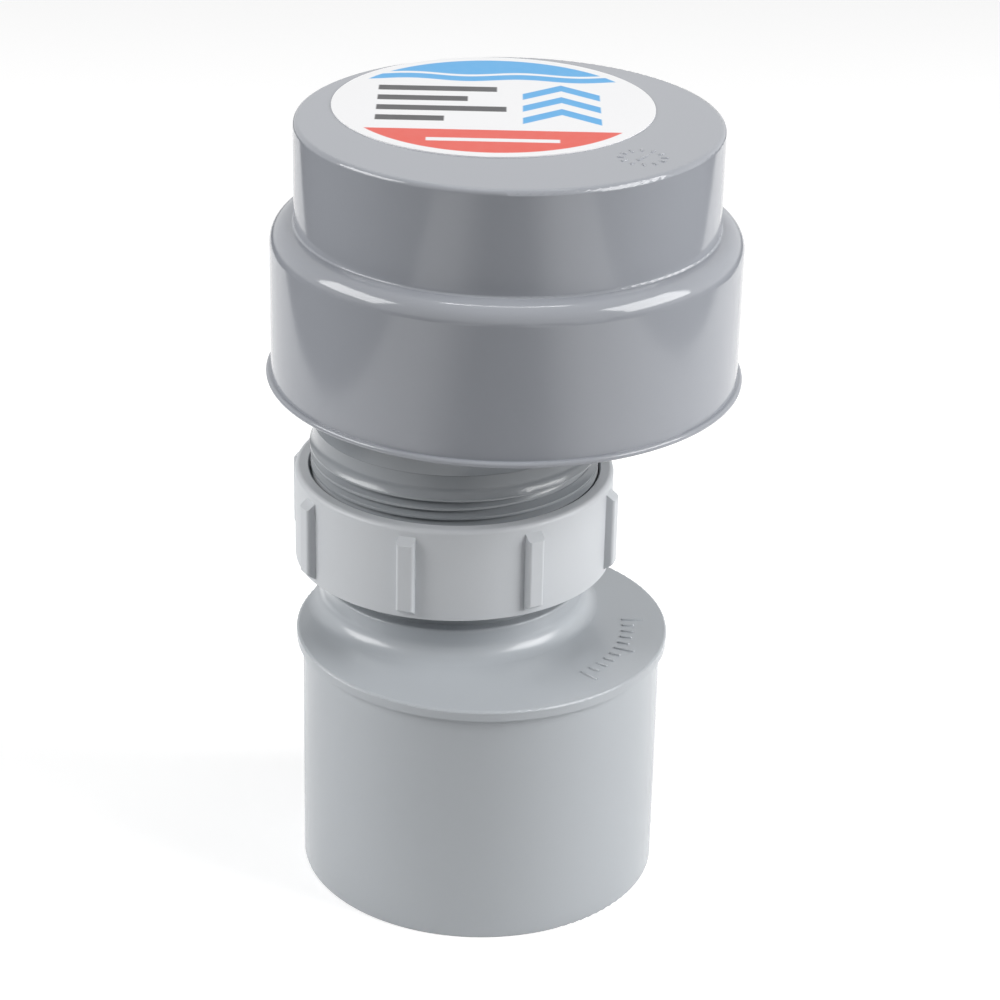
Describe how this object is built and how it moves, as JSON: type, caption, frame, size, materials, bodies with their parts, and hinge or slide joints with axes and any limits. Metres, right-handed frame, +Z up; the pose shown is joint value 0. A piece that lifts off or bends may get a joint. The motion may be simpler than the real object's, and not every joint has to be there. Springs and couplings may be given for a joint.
{
  "type": "air admittance valve",
  "caption": "Grey plastic drain air admittance valve: stepped round hood over a diaphragm valve, ribbed union nut and an eccentric reducer spigot.",
  "frame": {"origin": "centre of the spigot's lower rim", "axes": "+Z up along the spigot's axis, towards the hood; -Y is the side that faces the picture's camera"},
  "size_m": [0.0978, 0.0983, 0.1612],
  "materials": {
    "reducer_grey": "satin moulded polypropylene",
    "nut_grey": "satin moulded polypropylene, lighter batch",
    "washer_white": "smooth",
    "seal_rubber": "matt",
    "body_grey": "satin moulded plastic",
    "carrier_grey": "smooth",
    "hood_grey": "semi-gloss moulded plastic",
    "label_print": "printed film, satin"
  },
  "bodies": {
    "valve": {"reducer": "reducer_grey", "cone_seal": "seal_rubber", "valve_body": "body_grey", "hood_seal": "seal_rubber", "hood": "hood_grey", "label": "label_print"},
    "washer": {"thrust_washer": "washer_white"},
    "nut": {"union_nut": "nut_grey"},
    "diaphragm": {"diaphragm": "seal_rubber", "diaphragm_carrier": "carrier_grey"}
  },
  "joints": [
    {"name": "diaphragm_lift", "type": "slide", "parent": "valve", "child": "diaphragm", "axis": [0, 0, 1], "range_m": [0, 0.005]},
    {"name": "washer_travel", "type": "slide", "parent": "valve", "child": "washer", "axis": [0, 0, 1], "range_m": [-0.00801, 0]},
    {"name": "nut_spin", "type": "hinge", "parent": "washer", "child": "nut", "pos_m": [-0.00639, 0.01063, 0.076], "axis": [0, 0, 1], "range_deg": [-1440, 0]}
  ],
  "couplings": [
    {"joint": "washer_travel", "follows": "nut_spin", "m_per_rad": 0.00031831}
  ]
}
